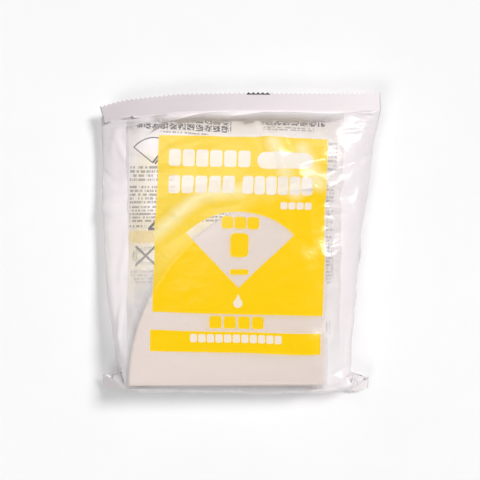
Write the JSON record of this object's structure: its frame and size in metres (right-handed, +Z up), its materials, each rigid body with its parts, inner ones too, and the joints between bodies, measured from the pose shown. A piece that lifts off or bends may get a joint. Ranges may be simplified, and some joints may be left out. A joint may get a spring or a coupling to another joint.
{
  "type": "pack of paper coffee filters",
  "caption": "Sealed translucent film pouch, printed on the front, lying on its back round a stack of folded paper cone filters.",
  "frame": {"origin": "on the surface that the pack lies on, under the middle of its outline seen from above", "axes": "+Z up, out of the printed front; +Y towards the top seal; +X towards the right-hand side of the printed front"},
  "size_m": [0.179, 0.1902, 0.0333],
  "materials": {
    "film": "thin milky polypropylene film, soft gloss",
    "filter_paper": "soft, finely creped, matte"
  },
  "bodies": {
    "root": {"film_pouch": "film", "filter_stack": "filter_paper"}
  },
  "joints": []
}
